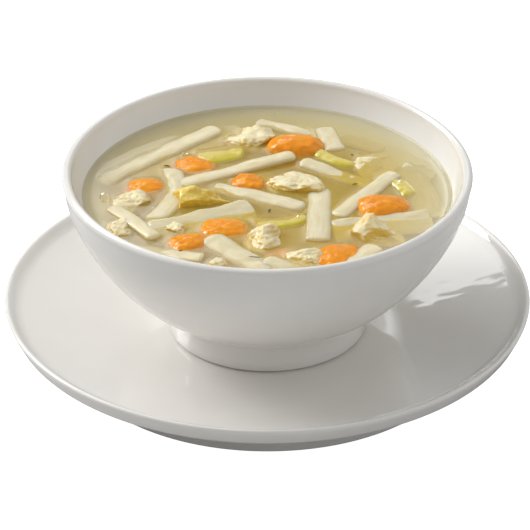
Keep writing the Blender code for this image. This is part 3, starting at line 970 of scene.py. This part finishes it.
dried_herb = new_material("dried_herb_leaf")
herb_shader = add_node(dried_herb, "BsdfPrincipled", {"Base Color": linear("5A5222"), "Roughness": 0.6})
show(dried_herb, herb_shader.outputs["BSDF"])
herb_places = {
    "middle": (1.0, -14.4, 2.6, 0.9, 75.0),
    "front": (-4.7, -52.6, 5.2, 0.5, -8.0),
    "left": (-39.5, 21.8, 3.0, 0.7, -20.0),
    "right": (34.3, 6.9, 2.4, 0.6, 20.0),
    "front_left": (-33.0, -46.0, 1.4, 0.6, 40.0),
    "back_right": (33.5, 31.0, 1.6, 0.5, -35.0),
}
shreds = []
for name, (x, y, length, width, turn) in herb_places.items():
    bpy.ops.object.select_all(action="DESELECT")
    bpy.ops.mesh.primitive_uv_sphere_add(segments=16, ring_count=8, radius=0.5)
    shred = bpy.context.object
    shred.name = "herb_shred_" + name
    for point in shred.data.vertices:
        curl = 0.35 * width * math.cos(3.0 * point.co.x)
        point.co = Vector((point.co.x * length, point.co.y * width + curl, point.co.z * 0.35)) * MM
    surface = broth_level + (1.3 if name == "front" else 0.35) * MM
    spot = Matrix.Translation(Vector((x * MM, y * MM, surface)))
    shred.data.transform(spot @ Matrix.Rotation(math.radians(turn), 4, "Z"))
    shreds.append(shred)
only_this(shreds[0])
for shred in shreds:
    shred.select_set(True)
bpy.ops.object.join()
herbs = bpy.context.object
herbs.name = "dried_herbs"
bpy.ops.object.shade_smooth()
herbs.data.materials.append(dried_herb)
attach(herbs, "root")

# ---------------------------------------------------------------------------------------------
# The bubbles. Small domes of broth skin that gather beside the celery, the chicken and the wall.

# A bubble's skin: clear where it is seen face on, bright with reflections towards its edge.
bubble_skin = new_material("bubble_skin")
bubble_clear = add_node(bubble_skin, "BsdfTransparent", {"Color": linear("FFFCF0")})
bubble_gloss = add_node(bubble_skin, "BsdfGlossy", {"Color": linear("FFFFFF"), "Roughness": 0.02})
bubble_edge = add_node(bubble_skin, "LayerWeight", {"Blend": 0.45})
bubble_mix = add_node(
    bubble_skin,
    "MixShader",
    {
        "Fac": bubble_edge.outputs["Facing"],
        1: bubble_clear.outputs["BSDF"],
        2: bubble_gloss.outputs["BSDF"],
    },
)
show(bubble_skin, bubble_mix.outputs["Shader"])
bubble_places = [
    (-63.4, -3.2, 2.0), (-61.2, -5.4, 0.8), (-64.4, -6.4, 0.6), (52.3, 8.2, 1.3), (51.2, 5.8, 1.1),
    (53.6, 5.6, 0.8), (52.6, 3.4, 0.7), (50.4, 8.0, 0.6), (12.2, -19.6, 1.0), (13.6, -17.4, 0.6),
    (20.4, 30.8, 0.8), (22.4, 28.9, 0.6), (-33.2, 32.0, 0.7), (-31.4, 31.0, 0.9), (-4.6, -29.0, 0.6),
    (-66.6, 14.0, 0.6), (63.0, 30.0, 0.5), (3.0, 66.0, 0.5), (-44.0, -12.6, 0.5), (24.0, 44.6, 0.5),
]
bpy.ops.object.select_all(action="DESELECT")
for x, y, radius in bubble_places:
    spot = (x * MM, y * MM, broth_level + 0.25 * MM)
    bpy.ops.mesh.primitive_uv_sphere_add(
        segments=20, ring_count=12, radius=radius * MM, location=spot
    )
    bpy.context.object.name = "bubble_of_broth"
blown = [thing for thing in bpy.context.scene.objects if thing.name.startswith("bubble_of_broth")]
for thing in blown:
    thing.select_set(True)
bpy.ops.object.join()
bubbles = bpy.context.object
bubbles.name = "bubbles"
bpy.ops.object.transform_apply(location=True, rotation=True, scale=True)
bpy.ops.object.shade_smooth()
bubbles.data.materials.append(bubble_skin)
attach(bubbles, "root")

# ---------------------------------------------------------------------------------------------
# The stage: a white table top, a large soft light from the left and a grey room with a window.

bpy.ops.object.select_all(action="DESELECT")
bpy.ops.mesh.primitive_plane_add(size=6, location=(0, 0, -0.0002))
table = bpy.context.object
table.name = "white_table"
# Matt white paper. Its glow is seen by the camera alone and lights nothing.
white_paper = new_material("white_table_top")
paper_seen = add_node(white_paper, "LightPath").outputs["Is Camera Ray"]
paper_shader = add_node(
    white_paper,
    "BsdfPrincipled",
    {
        "Base Color": linear("C4C4C4"),
        "Roughness": 0.9,
        "Emission Color": linear("FFFFFF"),
        "Emission Strength": paper_seen,
    },
)
show(white_paper, paper_shader.outputs["BSDF"])
table.data.materials.append(white_paper)

key_light = bpy.data.lights.new("key_from_left", "AREA")
key_light.size = 0.8
key_light.energy = 25
key = bpy.data.objects.new("key_from_left", key_light)
key.location = (-1.32, 0.68, 0.98)
key_aim = Vector((0, 0, 0.04)) - key.location
key.rotation_euler = key_aim.to_track_quat("-Z", "Y").to_euler()
bpy.context.collection.objects.link(key)

# The room: grey, darker behind on the left and brighter on the right, with a glow straight behind
# the bowl and, left of it, a window whose lower edge is ragged, as trees outside make it.
room = bpy.data.worlds.new("studio_room")
room.use_nodes = True
room_way = add_node(room, "TexCoord").outputs["Generated"]
room_axes = add_node(room, "SeparateXYZ", {"Vector": room_way}).outputs
room_leaves = add_node(room, "TexNoise", {"Vector": room_way, "Scale": 42.0, "Detail": 4.0})
leaf_edge = add_node(
    room, "MapRange", {"Value": room_leaves.outputs["Fac"], "To Min": -0.13, "To Max": 0.13}
)
raised = add_node(room, "Math", {0: room_axes["Z"], 1: leaf_edge.outputs["Result"]}, operation="ADD")


def patch_of_light(strength, sides):
    """A patch of the room's light. Each side is a direction, where the patch ends and is full."""
    patch = add_node(room, "Value")
    patch.outputs[0].default_value = strength
    for way, end, full in sides:
        side = add_node(room, "MapRange", {"Value": way, "From Min": end, "From Max": full})
        feeds = {0: patch.outputs[0], 1: side.outputs["Result"]}
        patch = add_node(room, "Math", feeds, operation="MULTIPLY")
    return patch.outputs[0]


window_sides = [
    (raised.outputs["Value"], 0.535, 0.545),
    (room_axes["Z"], 0.86, 0.80),
    (room_axes["X"], -0.13, -0.15),
    (room_axes["X"], -0.62, -0.58),
    (room_axes["Y"], 0.1, 0.3),
]
glow_sides = [
    (room_axes["X"], 0.02, -0.05),
    (room_axes["X"], -0.11, -0.07),
    (room_axes["Z"], 0.40, 0.44),
    (room_axes["Z"], 0.60, 0.56),
    (room_axes["Y"], 0.1, 0.4),
]
dark_sides = [(room_axes["X"], -0.08, -0.14), (room_axes["Y"], 0.1, 0.3)]
wall_light = add_node(
    room,
    "MapRange",
    {"Value": room_axes["X"], "From Min": 0.2, "From Max": 0.9, "To Min": 0.46, "To Max": 0.85},
).outputs["Result"]
all_light = wall_light
for strength, sides in ((-0.42, dark_sides), (3.6, window_sides), (2.6, glow_sides)):
    added = {0: all_light, 1: patch_of_light(strength, sides)}
    all_light = add_node(room, "Math", added, operation="ADD").outputs[0]
background = room.node_tree.nodes["Background"]
background.inputs["Color"].default_value = linear("FFFFFF")
room.node_tree.links.new(all_light, background.inputs["Strength"])
bpy.context.scene.world = room
bpy.context.scene.view_settings.view_transform = "Standard"

# The camera stands 1.94 m away and looks 29.7 degrees down on the bowl, through a long lens.
eye = bpy.data.cameras.new("eye")
eye.sensor_width = 36
eye.lens = 331.9
eye.clip_end = 20
camera = bpy.data.objects.new("eye", eye)
camera.location = (-0.0009, -1.669, 0.991)
camera.rotation_euler = (math.radians(90 - 29.72), 0, 0)
bpy.context.collection.objects.link(camera)
bpy.context.scene.camera = camera
